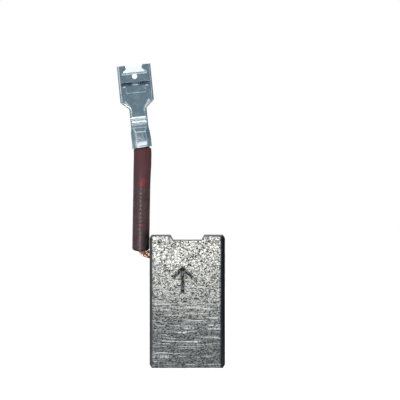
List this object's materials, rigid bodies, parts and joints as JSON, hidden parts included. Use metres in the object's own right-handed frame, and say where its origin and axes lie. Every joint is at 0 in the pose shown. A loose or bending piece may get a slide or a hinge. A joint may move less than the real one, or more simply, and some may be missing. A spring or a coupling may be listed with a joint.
{
  "type": "carbon brush",
  "caption": "Motor brush: rectangular graphite block with a top spring notch, a sleeved copper lead from its narrow side and a folded push-on terminal.",
  "frame": {"origin": "centre of the block's flat contact face, at the foot of the brush", "axes": "+Z along the block from the contact face to the notched end; -Y is the marked wide face; the lead leaves the narrow face on the -X side"},
  "size_m": [0.018, 0.0064, 0.0504],
  "materials": {
    "graphite": "satin",
    "tamping": "matte",
    "copper": "satin",
    "sleeve": "satin",
    "tinned_sheet": "gloss"
  },
  "bodies": {
    "root": {"carbon_block": "graphite", "tamping_plug": "tamping", "shunt_wire": "copper", "sleeve": "sleeve", "receptacle_terminal": "tinned_sheet"}
  },
  "joints": []
}
